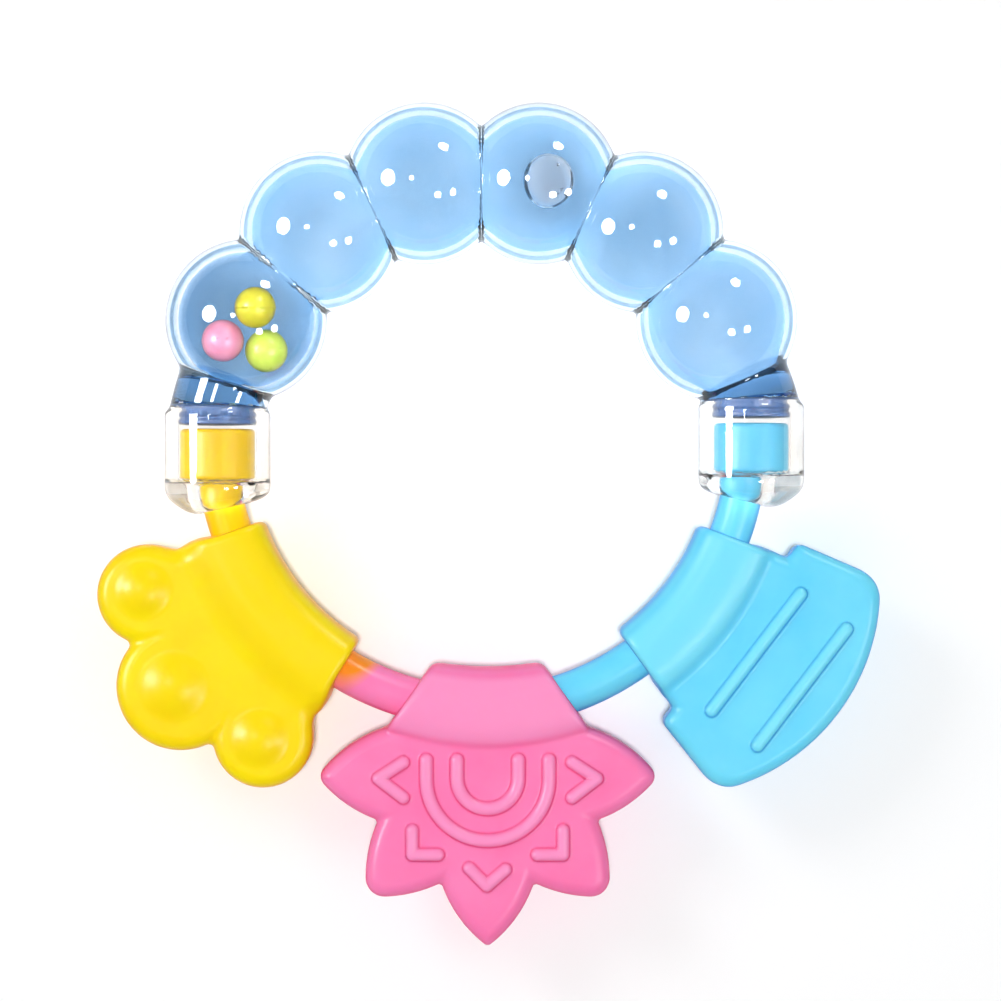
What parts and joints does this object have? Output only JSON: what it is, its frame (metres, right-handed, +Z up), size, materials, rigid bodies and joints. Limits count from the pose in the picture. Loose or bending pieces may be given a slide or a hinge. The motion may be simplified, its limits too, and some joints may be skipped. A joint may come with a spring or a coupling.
{
  "type": "teething ring",
  "caption": "Flat teething ring: a clear beaded handle filled with blue liquid and rattle balls, and a soft strap carrying flower, lotus and leaf chewing shapes.",
  "frame": {"origin": "below the middle of the ring's outline, level with the lowest points of the beads", "axes": "+Z up out of the front face as the ring lies flat, +Y from the chewing shapes towards the beaded handle, +X towards the light blue leaf"},
  "size_m": [0.1064, 0.1148, 0.022],
  "materials": {
    "clear_shell": "gloss",
    "bulkhead_plastic": "gloss",
    "blue_liquid": "gloss",
    "yellow_ball_plastic": "satin",
    "pink_ball_plastic": "satin",
    "green_ball_plastic": "satin",
    "yellow_rubber": "satin",
    "pink_rubber": "satin",
    "sky_rubber": "satin"
  },
  "bodies": {
    "handle": {"front_shell": "clear_shell", "rear_shell": "clear_shell", "left_bulkhead": "bulkhead_plastic", "right_bulkhead": "bulkhead_plastic", "blue_water": "blue_liquid"},
    "yellow_rattle": {"yellow_ball": "yellow_ball_plastic"},
    "pink_rattle": {"pink_ball": "pink_ball_plastic"},
    "green_rattle": {"green_ball": "green_ball_plastic"},
    "strap": {"left_neck": "yellow_rubber", "right_neck": "sky_rubber", "pink_link": "pink_rubber", "blue_link": "sky_rubber"},
    "yellow_flower": {"yellow_teether": "yellow_rubber"},
    "pink_lotus": {"pink_teether": "pink_rubber"},
    "blue_leaf": {"blue_teether": "sky_rubber"}
  },
  "joints": [
    {"name": "strap_fold", "type": "hinge", "parent": "handle", "child": "strap", "pos_m": [0, 0.00035, 0.011], "axis": [1, 0, 0], "range_deg": [-20, 20], "stiffness_Nm_per_rad": 0.25, "deforming": ["left_neck", "right_neck"]},
    {"name": "flower_flap", "type": "hinge", "parent": "strap", "child": "yellow_flower", "pos_m": [-0.02742, -0.01031, 0.011], "axis": [0.6286, -0.7777, 0], "range_deg": [-18, 18], "stiffness_Nm_per_rad": 0.05, "deforming": ["left_neck", "pink_link"]},
    {"name": "lotus_flap", "type": "hinge", "parent": "strap", "child": "pink_lotus", "pos_m": [-0.00008, -0.02349, 0.011], "axis": [0.9997, 0.0244, 0], "range_deg": [-25, 25], "stiffness_Nm_per_rad": 0.05, "deforming": ["pink_link", "blue_link"]},
    {"name": "leaf_flap", "type": "hinge", "parent": "strap", "child": "blue_leaf", "pos_m": [0.02658, -0.00993, 0.011], "axis": [0.6074, 0.7944, 0], "range_deg": [-18, 18], "stiffness_Nm_per_rad": 0.05, "deforming": ["blue_link", "right_neck"]},
    {"name": "yellow_bounce", "type": "slide", "parent": "handle", "child": "yellow_rattle", "axis": [0, 0, 1], "range_m": [-0.00806, 0], "stiffness_N_per_m": 2},
    {"name": "pink_bounce", "type": "slide", "parent": "handle", "child": "pink_rattle", "axis": [0, 0, 1], "range_m": [-0.00568, 0], "stiffness_N_per_m": 2},
    {"name": "green_bounce", "type": "slide", "parent": "handle", "child": "green_rattle", "axis": [0, 0, 1], "range_m": [-0.00327, 0], "stiffness_N_per_m": 2}
  ]
}
